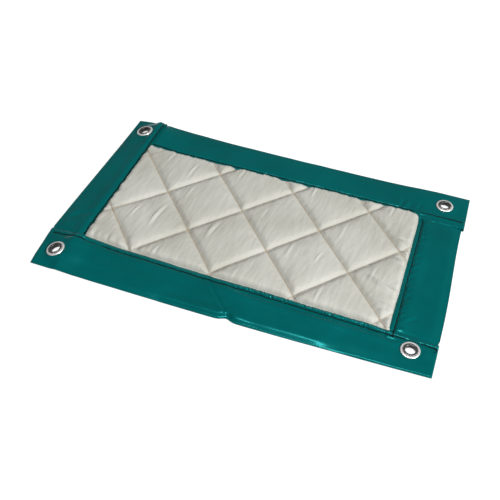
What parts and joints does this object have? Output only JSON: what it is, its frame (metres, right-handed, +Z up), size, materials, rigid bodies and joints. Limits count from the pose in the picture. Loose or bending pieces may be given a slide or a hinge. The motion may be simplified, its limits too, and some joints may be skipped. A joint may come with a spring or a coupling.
{
  "type": "quilted fire blanket with eyelets",
  "caption": "Quilted heat-protection blanket lying flat, with a folded green PVC border sewn round it and a metal eyelet in each corner.",
  "frame": {"origin": "centre of the surface that the blanket lies on, under the middle of its outline", "axes": "+X along the length towards the right end, +Y towards the back edge, +Z up out of the quilted face"},
  "size_m": [0.5, 0.31, 0.0125],
  "materials": {
    "pvc_tarpaulin": "glossy PVC-coated sheet with soft wrinkles",
    "quilt_fabric": "smooth coated cloth with a satin sheen and a fine weave",
    "lining_fabric": "plain woven cloth with a dull sheen",
    "batting": "matt fibre wadding",
    "eyelet_metal": "bright nickel plate",
    "quilt_thread": "tan sewing thread",
    "seam_thread": "dark green sewing thread"
  },
  "bodies": {
    "root": {"face_fabric": "quilt_fabric", "insulation_batting": "batting", "back_fabric": "lining_fabric", "border_front": "pvc_tarpaulin", "border_left": "pvc_tarpaulin", "border_back": "pvc_tarpaulin", "border_right": "pvc_tarpaulin", "eyelet_front_left": "eyelet_metal", "washer_front_left": "eyelet_metal", "eyelet_front_right": "eyelet_metal", "washer_front_right": "eyelet_metal", "eyelet_back_left": "eyelet_metal", "washer_back_left": "eyelet_metal", "eyelet_back_right": "eyelet_metal", "washer_back_right": "eyelet_metal", "quilt_thread_a1": "quilt_thread", "quilt_bobbin_a1": "quilt_thread", "quilt_thread_a2": "quilt_thread", "quilt_bobbin_a2": "quilt_thread", "quilt_thread_a3": "quilt_thread", "quilt_bobbin_a3": "quilt_thread", "quilt_thread_a4": "quilt_thread", "quilt_bobbin_a4": "quilt_thread", "quilt_thread_a5": "quilt_thread", "quilt_bobbin_a5": "quilt_thread", "quilt_thread_b1": "quilt_thread", "quilt_bobbin_b1": "quilt_thread", "quilt_thread_b2": "quilt_thread", "quilt_bobbin_b2": "quilt_thread", "quilt_thread_b3": "quilt_thread", "quilt_bobbin_b3": "quilt_thread", "quilt_thread_b4": "quilt_thread", "quilt_bobbin_b4": "quilt_thread", "quilt_thread_b5": "quilt_thread", "quilt_bobbin_b5": "quilt_thread", "seam_thread_front": "seam_thread", "seam_bobbin_front": "seam_thread", "seam_thread_left": "seam_thread", "seam_bobbin_left": "seam_thread", "seam_thread_back": "seam_thread", "seam_bobbin_back": "seam_thread", "seam_thread_right": "seam_thread", "seam_bobbin_right": "seam_thread"}
  },
  "joints": []
}
